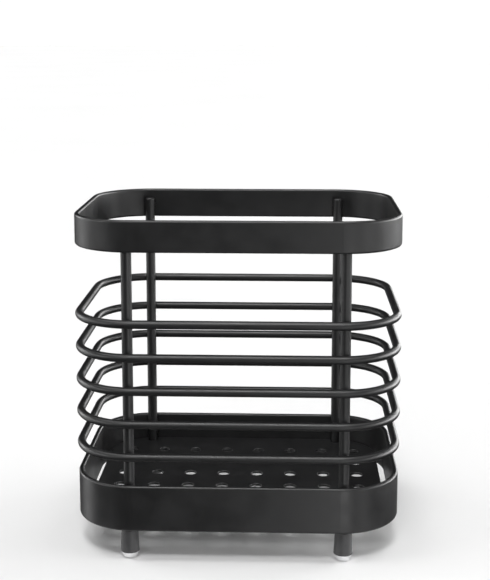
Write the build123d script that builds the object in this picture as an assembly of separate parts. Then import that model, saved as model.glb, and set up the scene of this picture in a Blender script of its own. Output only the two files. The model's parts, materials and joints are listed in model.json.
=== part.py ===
from build123d import *
import os

# A free-standing wire rack in which washed cutlery stands and drains.
# Two flat steel strips bent into rounded rectangles are the rims at the top and the bottom,
# five wire rings go round between them, and four wire posts inside join them all.
# A perforated plate closes the bottom, and each post stands in a foot.
# Origin: on the surface the rack stands on, at the middle of the four feet.
# X is the width, Y the depth with the front at -Y, and Z is up. All lengths are millimetres.

# Plan of the rims
rack_width = 140.0
rack_depth = 100.0
corner_radius = 26.0
strip_thickness = 2.2
strip_edge_radius = 1.0

# Heights
rack_height = 146.8
top_band_height = 13.5
bottom_band_height = 20.0
bottom_band_base = 13.4
lowest_ring_height = 45.6
ring_pitch = 14.35
ring_count = 5

# Wires
ring_wire = 3.6
ring_stand_out = 0.4      # the rings stand this far outside the rims
post_wire = 4.5
post_spacing = 91.0
ring_fusion = 0.3         # depth that a ring is welded into a post
post_top_gap = 4.0        # post ends below the top of the rim
post_base = 7.8
post_end_radius = 0.6

# Perforated plate
plate_thickness = 1.2
plate_top = 21.0
plate_width = 128.0
plate_corner_radius = 20.0
hole_diameter = 5.2
hole_pitch = 15.3
hole_columns = 8
hole_rows = 5
flange_length = 78.0
flange_depth = 6.0
notch_clearance = 0.15
plate_edge_radius = 0.35    # the coating rounds the cut edges

# Feet
sleeve_top = 13.1
sleeve_top_diameter = 7.2
sleeve_base_diameter = 8.1
sleeve_edge_radius = 0.5
glide_radius = 3.85
glide_flat_radius = 1.4
glide_height = 3.15
stem_diameter = 2.4

# Weld seams between the posts and the rims
seam_width = 3.2
seam_end_gap = 1.8

inner_width = rack_width - 2 * strip_thickness
inner_depth = rack_depth - 2 * strip_thickness
inner_corner_radius = corner_radius - strip_thickness
top_band_base = rack_height - top_band_height
bottom_band_top = bottom_band_base + bottom_band_height
ring_inner_depth = rack_depth + 2 * ring_stand_out - 2 * ring_wire
post_x = post_spacing / 2
post_y = ring_inner_depth / 2 + ring_fusion - post_wire / 2
post_top = rack_height - post_top_gap

corners = {
    "front_left": (-1, -1),
    "front_right": (1, -1),
    "back_left": (-1, 1),
    "back_right": (1, 1),
}


def inner_space(base, height):
    """The space inside a rim, from base up."""
    outline = RectangleRounded(inner_width, inner_depth, inner_corner_radius)
    return Pos(0, 0, base) * extrude(outline, height)


def band(base, height):
    """A rim: a flat strip on edge, bent into a rounded rectangle, with rounded edges."""
    outline = RectangleRounded(rack_width, rack_depth, corner_radius)
    strip = Pos(0, 0, base) * extrude(outline, height) - inner_space(base, height)
    levels = strip.edges().group_by(Axis.Z)
    return fillet(levels[0] + levels[-1], strip_edge_radius)


def wire_ring(height):
    """A closed ring of round wire, with its centre line at the height."""
    inset = ring_wire / 2 - ring_stand_out
    width = rack_width - 2 * inset
    depth = rack_depth - 2 * inset
    path = RectangleRounded(width, depth, corner_radius - inset).wire()
    start = Plane(origin=(0, -depth / 2, 0), x_dir=(0, 1, 0), z_dir=(1, 0, 0))
    ring = sweep(start * Circle(ring_wire / 2), path=path)
    return Pos(0, 0, height) * ring


def post(side_x, side_y, rings):
    """A straight wire post, with a shallow saddle where each ring is welded to it."""
    rod = Cylinder(post_wire / 2, post_top - post_base, align=(Align.CENTER, Align.CENTER, Align.MIN))
    rod = fillet(rod.edges().group_by(Axis.Z)[-1], post_end_radius)
    rod = Pos(side_x * post_x, side_y * post_y, post_base) * rod
    for ring in rings:
        rod = rod - ring
    return rod


def base_plate():
    """The perforated plate, with a flange down its front and back edges to weld to the rim."""
    sheet = extrude(RectangleRounded(plate_width, inner_depth, plate_corner_radius), plate_thickness)
    holes = GridLocations(hole_pitch, hole_pitch, hole_columns, hole_rows) * Cylinder(
        hole_diameter / 2, 3 * plate_thickness
    )
    plate = sheet - holes
    plate = fillet(plate.edges().filter_by(Plane.XY), plate_edge_radius)
    notch_radius = post_wire / 2 + notch_clearance
    for side_x, side_y in corners.values():
        bore = Pos(side_x * post_x, side_y * post_y) * Cylinder(notch_radius, 3 * plate_thickness)
        mouth_depth = inner_depth / 2 - post_y
        mouth = Box(2 * notch_radius, mouth_depth, 3 * plate_thickness)
        plate = plate - bore - Pos(side_x * post_x, side_y * (post_y + mouth_depth / 2)) * mouth
    flange = Box(
        flange_length,
        plate_thickness,
        flange_depth,
        align=(Align.CENTER, Align.CENTER, Align.MAX),
    )
    flange_y = (inner_depth - plate_thickness) / 2
    for side_y in (-1, 1):
        plate = plate + Pos(0, side_y * flange_y, plate_thickness) * flange
    return Pos(0, 0, plate_top - plate_thickness) * plate


def foot_sleeve(side_x, side_y):
    """A tapered moulded sleeve, pushed on the end of a post, with a bore for the glide's stem."""
    with BuildPart() as sleeve:
        with BuildSketch(Plane.XZ):
            with BuildLine():
                Polyline(
                    (stem_diameter / 2, glide_height),
                    (sleeve_base_diameter / 2, glide_height),
                    (sleeve_top_diameter / 2, sleeve_top),
                    (post_wire / 2, sleeve_top),
                    (post_wire / 2, post_base),
                    (stem_diameter / 2, post_base),
                    close=True,
                )
            make_face()
        revolve(axis=Axis.Z)
        fillet(sleeve.edges().group_by(Axis.Z)[-1].sort_by(SortBy.RADIUS)[-1], sleeve_edge_radius)
    return Pos(side_x * post_x, side_y * post_y, 0) * sleeve.part


def foot_glide(side_x, side_y):
    """A domed metal glide with a small flat underneath, and a stem up into the sleeve."""
    with BuildPart() as glide:
        with BuildSketch(Plane.XZ):
            with BuildLine():
                Polyline((0, 0), (glide_flat_radius, 0))
                TangentArc((glide_radius, glide_height), (glide_flat_radius, 0), tangent=(0, -1))
                Polyline(
                    (glide_radius, glide_height),
                    (stem_diameter / 2, glide_height),
                    (stem_diameter / 2, post_base),
                    (0, post_base),
                    (0, 0),
                )
            make_face()
        revolve(axis=Axis.Z)
    return Pos(side_x * post_x, side_y * post_y, 0) * glide.part


def weld_seams(base, top):
    """Four upright weld seams that fill the gap between a rim and the four posts."""
    space = inner_space(base, top - base)
    height = top - base
    seams = []
    for side_x, side_y in corners.values():
        rod = Pos(side_x * post_x, side_y * post_y, base) * Cylinder(
            post_wire / 2, 3 * height
        )
        reach = rack_depth / 2 - post_y
        block = Box(seam_width, reach, height, align=(Align.CENTER, Align.CENTER, Align.MIN))
        block = Pos(side_x * post_x, side_y * (post_y + reach / 2), base) * block
        seams.append((block & space) - rod)
    return Compound(children=seams)


def write(shape, name):
    """Writes one sub-part to its own file."""
    export_step(shape, f"parts/{name}.step")


os.makedirs("parts", exist_ok=True)

write(band(top_band_base, top_band_height), "top_band")
write(band(bottom_band_base, bottom_band_height), "bottom_band")
write(base_plate(), "base_plate")

all_rings = []
for number in range(1, ring_count + 1):
    ring_height = lowest_ring_height + (ring_count - number) * ring_pitch
    one_ring = wire_ring(ring_height)
    all_rings.append(one_ring)
    write(one_ring, f"wire_ring_{number}")

for corner, (across, along) in corners.items():
    write(post(across, along, all_rings), f"post_{corner}")
    write(foot_sleeve(across, along), f"foot_sleeve_{corner}")
    write(foot_glide(across, along), f"foot_glide_{corner}")

write(weld_seams(top_band_base + seam_end_gap, post_top - seam_end_gap), "top_weld_seams")
write(
    weld_seams(plate_top + seam_end_gap, bottom_band_top - seam_end_gap),
    "bottom_weld_seams",
)
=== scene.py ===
import json
import math

import bmesh
import bpy
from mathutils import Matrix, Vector, noise

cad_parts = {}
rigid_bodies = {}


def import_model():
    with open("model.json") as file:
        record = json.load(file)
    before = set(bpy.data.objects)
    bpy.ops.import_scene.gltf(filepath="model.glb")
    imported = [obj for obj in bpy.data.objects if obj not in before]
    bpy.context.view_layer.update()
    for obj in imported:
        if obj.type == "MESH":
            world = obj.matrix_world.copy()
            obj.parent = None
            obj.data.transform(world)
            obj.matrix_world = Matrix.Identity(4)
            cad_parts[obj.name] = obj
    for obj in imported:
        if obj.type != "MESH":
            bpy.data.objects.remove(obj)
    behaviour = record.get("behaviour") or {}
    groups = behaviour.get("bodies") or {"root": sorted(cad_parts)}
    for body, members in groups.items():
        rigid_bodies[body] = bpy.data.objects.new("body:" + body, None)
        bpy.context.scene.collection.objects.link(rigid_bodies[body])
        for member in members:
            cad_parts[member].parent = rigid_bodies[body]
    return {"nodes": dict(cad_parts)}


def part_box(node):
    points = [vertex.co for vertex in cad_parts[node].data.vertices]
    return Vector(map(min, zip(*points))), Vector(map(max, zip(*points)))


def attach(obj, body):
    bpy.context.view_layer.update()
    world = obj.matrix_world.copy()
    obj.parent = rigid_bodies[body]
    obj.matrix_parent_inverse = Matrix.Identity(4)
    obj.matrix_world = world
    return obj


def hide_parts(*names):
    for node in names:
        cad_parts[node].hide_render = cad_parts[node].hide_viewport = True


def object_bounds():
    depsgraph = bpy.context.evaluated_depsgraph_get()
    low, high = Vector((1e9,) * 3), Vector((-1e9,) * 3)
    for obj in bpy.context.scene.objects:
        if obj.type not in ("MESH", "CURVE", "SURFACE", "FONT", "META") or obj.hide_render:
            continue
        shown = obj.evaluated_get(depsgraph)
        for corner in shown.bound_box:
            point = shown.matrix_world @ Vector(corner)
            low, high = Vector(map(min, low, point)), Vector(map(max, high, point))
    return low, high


# A standing rack for washed cutlery, in satin black powder-coated steel.
# Lengths are metres, in the CAD frame: X to the right, Y to the back, Z up.

MM = 0.001

for leftover in list(bpy.data.objects):
    bpy.data.objects.remove(leftover)

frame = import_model()
cad_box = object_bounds()
NODES = frame["nodes"]
CORNERS = ("front_left", "front_right", "back_left", "back_right")
RINGS = sorted(name for name in NODES if name.startswith("wire_ring_"))
BOXES = {name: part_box(name) for name in NODES}


# ---------------------------------------------------------------- materials

def start_material(name):
    """A new material with its shader and its object coordinates."""
    material = bpy.data.materials.new(name)
    material.use_nodes = True
    tree = material.node_tree
    shader = tree.nodes["Principled BSDF"]
    place = tree.nodes.new("ShaderNodeTexCoord")
    return material, tree, shader, place.outputs["Object"]


def add_noise(tree, place, feature, detail=3.0, stretch=(1.0, 1.0, 1.0)):
    """Noise whose blotches are about one feature wide, in metres."""
    mapping = tree.nodes.new("ShaderNodeMapping")
    mapping.inputs["Scale"].default_value = stretch
    tree.links.new(place, mapping.inputs["Vector"])
    texture = tree.nodes.new("ShaderNodeTexNoise")
    texture.inputs["Scale"].default_value = 1.0 / feature
    texture.inputs["Detail"].default_value = detail
    tree.links.new(mapping.outputs["Vector"], texture.inputs["Vector"])
    return texture.outputs["Fac"]


def add_ramp(tree, factor, low, high, start=0.3, end=0.7):
    """Maps noise to a colour between low and high."""
    ramp = tree.nodes.new("ShaderNodeValToRGB")
    ramp.color_ramp.elements[0].position = start
    ramp.color_ramp.elements[0].color = (*low, 1.0)
    ramp.color_ramp.elements[1].position = end
    ramp.color_ramp.elements[1].color = (*high, 1.0)
    tree.links.new(factor, ramp.inputs["Fac"])
    return ramp.outputs["Color"]


def add_range(tree, factor, low, high, start=0.3, end=0.7):
    """Maps noise to a number between low and high."""
    span = tree.nodes.new("ShaderNodeMapRange")
    span.inputs["From Min"].default_value = start
    span.inputs["From Max"].default_value = end
    span.inputs["To Min"].default_value = low
    span.inputs["To Max"].default_value = high
    tree.links.new(factor, span.inputs["Value"])
    return span.outputs["Result"]


def add_bump(tree, height, distance, strength, normal=None):
    """A bump of a height in metres, on top of another normal if one is given."""
    bump = tree.nodes.new("ShaderNodeBump")
    bump.inputs["Distance"].default_value = distance
    bump.inputs["Strength"].default_value = strength
    tree.links.new(height, bump.inputs["Height"])
    if normal is not None:
        tree.links.new(normal, bump.inputs["Normal"])
    return bump.outputs["Normal"]


def powder_coat():
    """Satin black powder coat: near-black, with fine orange peel and a sheen that varies a little."""
    material, tree, shader, place = start_material("powder_coated_steel")
    blotches = add_noise(tree, place, feature=9 * MM, detail=4.0)
    peel = add_noise(tree, place, feature=0.55 * MM, detail=2.0)
    grain = add_noise(tree, place, feature=0.16 * MM, detail=2.0)
    colour = add_ramp(tree, blotches, low=(0.0065, 0.0065, 0.0068), high=(0.009, 0.009, 0.0094))
    roughness = add_range(tree, blotches, low=0.37, high=0.45)
    coarse = add_bump(tree, peel, distance=0.02 * MM, strength=0.5)
    fine = add_bump(tree, grain, distance=0.006 * MM, strength=0.5, normal=coarse)
    tree.links.new(colour, shader.inputs["Base Color"])
    tree.links.new(roughness, shader.inputs["Roughness"])
    tree.links.new(fine, shader.inputs["Normal"])
    return material


def sleeve_plastic():
    """Moulded dark plastic with a fine spark-eroded texture."""
    material, tree, shader, place = start_material("foot_sleeve_plastic")
    blotches = add_noise(tree, place, feature=2.5 * MM, detail=3.0)
    texture = add_noise(tree, place, feature=0.12 * MM, detail=3.0)
    colour = add_ramp(tree, blotches, low=(0.022, 0.022, 0.023), high=(0.03, 0.03, 0.031))
    roughness = add_range(tree, blotches, low=0.45, high=0.58)
    bumps = add_bump(tree, texture, distance=0.01 * MM, strength=0.6)
    tree.links.new(colour, shader.inputs["Base Color"])
    tree.links.new(roughness, shader.inputs["Roughness"])
    tree.links.new(bumps, shader.inputs["Normal"])
    return material


def polished_chrome():
    """Polished chrome with faint handling marks."""
    material, tree, shader, place = start_material("polished_chrome")
    smears = add_noise(tree, place, feature=1.6 * MM, detail=4.0)
    scratches = add_noise(tree, place, feature=0.25 * MM, detail=2.0, stretch=(1.0, 1.0, 0.12))
    colour = add_ramp(tree, smears, low=(0.78, 0.78, 0.79), high=(0.88, 0.88, 0.89))
    roughness = add_range(tree, smears, low=0.05, high=0.13)
    marks = add_bump(tree, scratches, distance=0.003 * MM, strength=0.3)
    tree.links.new(colour, shader.inputs["Base Color"])
    tree.links.new(roughness, shader.inputs["Roughness"])
    tree.links.new(marks, shader.inputs["Normal"])
    shader.inputs["Metallic"].default_value = 1.0
    return material


def studio_floor():
    """Pale matt studio paper."""
    material, tree, shader, place = start_material("studio_floor")
    cloud = add_noise(tree, place, feature=400 * MM, detail=2.0)
    colour = add_ramp(tree, cloud, low=(0.655, 0.655, 0.655), high=(0.67, 0.67, 0.67))
    tree.links.new(colour, shader.inputs["Base Color"])
    shader.inputs["Roughness"].default_value = 0.8
    shader.inputs["Specular IOR Level"].default_value = 0.2
    return material


def paint(piece, material):
    """Gives a piece one material all over."""
    piece.data.materials.clear()
    piece.data.materials.append(material)


coat = powder_coat()
plastic = sleeve_plastic()
chrome = polished_chrome()
for node_name, node in NODES.items():
    if node_name.startswith("foot_sleeve"):
        finish = plastic
    elif node_name.startswith("foot_glide"):
        finish = chrome
    else:
        finish = coat
    paint(node, finish)


# ---------------------------------------------------------------- welds

STRIP = 2.2 * MM               # thickness of the rims
CORNER = 26.0 * MM             # outer corner radius of the rims
SINK = 0.08 * MM               # how far a weld reaches into the steel it joins

NUGGET_ACROSS = 1.6 * MM       # half width of a ring weld at its waist
NUGGET_UP = 1.25 * MM          # half height of a ring weld at its waist
NUGGET_FLARE = 0.22            # how much wider it is where it meets each wire
NUGGET_LUMPS = 0.1             # how uneven its outline is
NUGGET_LUMP_PITCH = 0.5        # size of a lump, where 1 is the weld's half width
NUGGET_SIDES = 40
NUGGET_LEVELS = 7
SEEDS_PER_POST = 10.0          # keeps the lumps of different posts' welds apart

BEAD_FOOT = 2.35 * MM          # how far a bead reaches along the rim from the middle of the post
BEAD_TURN = math.radians(72)   # how far it reaches round the post
BEAD_BULGE = 0.22 * MM         # how far its middle stands out
BEAD_RIPPLE = 0.85 * MM        # length of one ripple
BEAD_VALLEY = 0.9              # size of a bead between two ripples
BEAD_CREST = 0.12              # how much larger it is on a ripple
BEAD_END = 0.3                 # size of a bead at its two ends
BEAD_BLUNTNESS = 8             # the higher, the shorter the stretch where it narrows to its ends
BEAD_LUMPS = 0.05              # how uneven its size is
BEAD_STEP = 0.12 * MM          # height between two outlines of a bead
BEAD_POINTS = 9
BEAD_SHIFT = 1 / 3             # sets apart the ripples on the two sides of a post


def add_tube(points, faces, rows):
    """Adds a closed skin through rows of points, with its two ends filled."""
    start = len(points)
    around = len(rows[0])
    for row in rows:
        points.extend(row)
    for level in range(len(rows) - 1):
        first = start + level * around
        for k in range(around):
            after = (k + 1) % around
            faces.append((first + k, first + after, first + around + after, first + around + k))
    faces.append(tuple(range(start, start + around)))
    faces.append(tuple(range(len(points) - around, len(points))))


def add_piece(name, points, faces):
    """A smooth mesh piece that rides on the rack."""
    mesh = bpy.data.meshes.new(name)
    mesh.from_pydata(points, [], faces)
    work = bmesh.new()
    work.from_mesh(mesh)
    bmesh.ops.recalc_face_normals(work, faces=work.faces)
    work.to_mesh(mesh)
    work.free()
    mesh.shade_smooth()
    piece = bpy.data.objects.new(name, mesh)
    bpy.context.scene.collection.objects.link(piece)
    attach(piece, "root")
    return piece


def post_axis(corner):
    """Middle and radius of a post, and whether it is at the front, -1, or at the back, 1."""
    low, high = BOXES[f"post_{corner}"]
    middle = (low + high) / 2
    radius = (high.x - low.x) / 2
    return middle.x, middle.y, radius, math.copysign(1.0, middle.y)


def rim_face(x):
    """How far from the middle of the rack the inner face of the rim's long side is, at x."""
    low, high = BOXES["top_band"]
    straight = high.x - CORNER
    past = max(0.0, abs(x) - straight)
    inner = CORNER - STRIP
    return high.y - CORNER + math.sqrt(inner**2 - past**2)


def nugget_rows(corner, ring, seed):
    """The weld of a ring to a post: a short waisted collar between the two wires."""
    post_x, post_y, post_radius, side = post_axis(corner)
    low, high = BOXES[ring]
    wire_radius = (high.z - low.z) / 2
    ring_y = side * (high.y - wire_radius)
    ring_z = (high.z + low.z) / 2
    rows = []
    for level in range(NUGGET_LEVELS):
        part = level / (NUGGET_LEVELS - 1)
        flare = 1.0 + NUGGET_FLARE * (2.0 * part - 1.0) ** 2
        row = []
        for k in range(NUGGET_SIDES):
            turn = 2.0 * math.pi * k / NUGGET_SIDES
            across, up = math.cos(turn), math.sin(turn)
            spot = (across / NUGGET_LUMP_PITCH, up / NUGGET_LUMP_PITCH, seed)
            size = flare * (1.0 + NUGGET_LUMPS * noise.noise(spot))
            x = NUGGET_ACROSS * size * across
            z = NUGGET_UP * size * up
            on_ring = ring_y - side * (math.sqrt(wire_radius**2 - z**2) - SINK)
            on_post = post_y + side * (math.sqrt(post_radius**2 - x**2) - SINK)
            row.append((post_x + x, on_ring + part * (on_post - on_ring), ring_z + z))
        rows.append(row)
    return rows


def bead_rows(corner, side_x, low_z, high_z, seed):
    """A rippled fillet weld up one side of a post, in the corner between it and the rim.

    The outline at each height is a curve from its foot on the rim, over its crown, to its top
    on the post, closed by one point inside the rim behind the post.
    """
    post_x, post_y, post_radius, side = post_axis(corner)
    levels = round((high_z - low_z) / BEAD_STEP)
    rows = []
    for level in range(levels + 1):
        z = low_z + (high_z - low_z) * level / levels
        from_middle = min(1.0, abs(2.0 * level / levels - 1.0))
        ripple = BEAD_VALLEY + BEAD_CREST * abs(math.sin(math.pi * z / BEAD_RIPPLE + seed))
        narrowing = max(BEAD_END, math.sqrt(1.0 - from_middle**BEAD_BLUNTNESS))
        lump = 1.0 + BEAD_LUMPS * noise.noise((0.0, seed, z / MM))
        size = ripple * narrowing * lump
        foot_x = post_x + side_x * BEAD_FOOT * size
        foot = Vector((foot_x, side * (rim_face(foot_x) + SINK), z))
        turn = BEAD_TURN * size
        reach = post_radius - SINK
        top_x = post_x + side_x * reach * math.sin(turn)
        top_y = post_y + side * reach * math.cos(turn)
        top = Vector((top_x, top_y, z))
        crown = (foot + top) / 2 + Vector((side_x, -side, 0.0)) * BEAD_BULGE * size
        row = [Vector((post_x, side * (rim_face(post_x) + SINK), z))]
        for k in range(BEAD_POINTS):
            t = k / (BEAD_POINTS - 1)
            row.append(foot * (1 - t) ** 2 + crown * 2 * t * (1 - t) + top * t**2)
        rows.append(row)
    return rows


def add_ring_welds(corner):
    """The welds of the five rings to one post."""
    points, faces = [], []
    for number, ring in enumerate(RINGS):
        seed = SEEDS_PER_POST * CORNERS.index(corner) + number
        add_tube(points, faces, nugget_rows(corner, ring, seed))
    welds = add_piece(f"ring_welds_{corner}", points, faces)
    paint(welds, coat)


def add_rim_welds(name, seams):
    """Two beads at each post, for the CAD's plain seams."""
    low, high = BOXES[seams]
    points, faces = [], []
    for number, corner in enumerate(CORNERS):
        for side_x in (-1.0, 1.0):
            seed = number + side_x * BEAD_SHIFT
            add_tube(points, faces, bead_rows(corner, side_x, low.z, high.z, seed))
    welds = add_piece(name, points, faces)
    paint(welds, coat)
    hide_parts(seams)


for corner in CORNERS:
    add_ring_welds(corner)
add_rim_welds("rim_welds_top", "top_weld_seams")
add_rim_welds("rim_welds_bottom", "bottom_weld_seams")


# ---------------------------------------------------------------- stage

# Soft studio lights, all far away: (name, azimuth, elevation, how wide it looks, strength), with
# the angles in degrees. Azimuth 0 is in front of the rack and 90 on its right. A light below the
# horizon stands for the bounce from the pale table, and the floor lets it through.
STUDIO_LIGHTS = (
    ("overhead", 0, 90, 25, 0.9),
    ("overhead_front", 0, 63, 14, 1.45),
    ("overhead_left", -90, 63, 28, 0.9),
    ("overhead_right", 90, 63, 28, 0.4),
    ("front_left", -20, 35, 30, 0.65),
    ("side_left_front", -60, 8, 26, 0.8),
    ("side_left", -90, 8, 26, 0.5),
    ("side_left_back", -120, 8, 26, 1.1),
    ("side_right_front", 60, 8, 26, 0.5),
    ("side_right", 90, 8, 26, 1.7),
    ("side_right_back", 120, 8, 26, 2.4),
    ("back_right", 150, 8, 26, 1.1),
    ("bounce_left", -108, -18, 26, 0.35),
    ("bounce_right", 45, -12, 26, 0.35),
)

# Small square cards of light near the rack's front: (name, place, aim, size, watts).
BOUNCE_CARDS = (
    ("bounce_low", (0.092, -0.30, -0.08), (0.07, -0.05, 0.02), 0.07, 0.11),
    ("bounce_high", (0.11, -0.30, 0.09), (0.06, -0.05, 0.14), 0.08, 0.09),
)

FLOOR_SIZE = 30.0
BACKDROP_STRENGTH = 1.05
UNDERLAY_MARGIN = 10 * MM      # how far the mirrored part of the floor reaches past the rack
UNDERLAY_LIFT = 0.02 * MM

CAMERA_PLACE = (0.0209, -0.5312, 0.2242)
CAMERA_PITCH = math.radians(8.68)    # how far it looks down
CAMERA_YAW = math.radians(2.02)      # how far it turns to the left
SENSOR_WIDTH = 36.0
FOCAL_LENGTH = 74.7
LENS_SHIFT = -0.135


def add_sheet(name, half_x, half_y, z):
    """A flat level rectangle, centred under the rack."""
    corners = [(-half_x, -half_y, z), (half_x, -half_y, z), (half_x, half_y, z), (-half_x, half_y, z)]
    mesh = bpy.data.meshes.new(name)
    mesh.from_pydata(corners, [], [(0, 1, 2, 3)])
    sheet = bpy.data.objects.new(name, mesh)
    bpy.context.scene.collection.objects.link(sheet)
    return sheet


def add_floor():
    """The surface the rack stands on. The rack mirrors only the part of it that is right underneath."""
    paper = studio_floor()
    floor = add_sheet("studio_floor", FLOOR_SIZE / 2, FLOOR_SIZE / 2, 0.0)
    floor.visible_glossy = False
    floor.visible_shadow = False
    paint(floor, paper)
    half_x, half_y = cad_box[1][0] + UNDERLAY_MARGIN, cad_box[1][1] + UNDERLAY_MARGIN
    underlay = add_sheet("floor_under_rack", half_x, half_y, UNDERLAY_LIFT)
    underlay.visible_camera = False
    underlay.visible_diffuse = False
    underlay.visible_shadow = False
    paint(underlay, paper)


def add_distant_light(name, azimuth, elevation, width, strength):
    """A large soft light far away in one direction."""
    data = bpy.data.lights.new(name, "SUN")
    data.angle = math.radians(width)
    data.energy = strength
    light = bpy.data.objects.new(name, data)
    bpy.context.scene.collection.objects.link(light)
    across, up = math.radians(azimuth), math.radians(elevation)
    towards = Vector((math.sin(across) * math.cos(up), -math.cos(across) * math.cos(up), math.sin(up)))
    light.rotation_euler = towards.to_track_quat("Z", "Y").to_euler()


def add_bounce_card(name, place, aim, size, watts):
    """A small square card of light, which the camera doesn't see."""
    data = bpy.data.lights.new(name, "AREA")
    data.shape = "SQUARE"
    data.size = size
    data.energy = watts
    light = bpy.data.objects.new(name, data)
    bpy.context.scene.collection.objects.link(light)
    light.visible_camera = False
    light.location = place
    light.rotation_euler = (Vector(aim) - Vector(place)).to_track_quat("-Z", "Y").to_euler()


def add_white_surround():
    """A plain white background, which gives no light of its own."""
    world = bpy.data.worlds.new("studio")
    bpy.context.scene.world = world
    world.use_nodes = True
    background = world.node_tree.nodes["Background"]
    background.inputs["Color"].default_value = (1.0, 1.0, 1.0, 1.0)
    background.inputs["Strength"].default_value = BACKDROP_STRENGTH
    world.cycles_visibility.diffuse = False
    world.cycles_visibility.glossy = False


def add_camera():
    """The camera: in front, above the rims and a little to the right, with a slightly lowered lens."""
    data = bpy.data.cameras.new("camera")
    data.sensor_width = SENSOR_WIDTH
    data.lens = FOCAL_LENGTH
    data.shift_y = LENS_SHIFT
    camera = bpy.data.objects.new("camera", data)
    bpy.context.scene.collection.objects.link(camera)
    camera.location = CAMERA_PLACE
    camera.rotation_euler = (math.pi / 2 - CAMERA_PITCH, 0.0, CAMERA_YAW)
    bpy.context.scene.camera = camera


add_floor()
for light_settings in STUDIO_LIGHTS:
    add_distant_light(*light_settings)
for card_settings in BOUNCE_CARDS:
    add_bounce_card(*card_settings)
add_white_surround()
add_camera()
bpy.context.scene.view_settings.view_transform = "Standard"
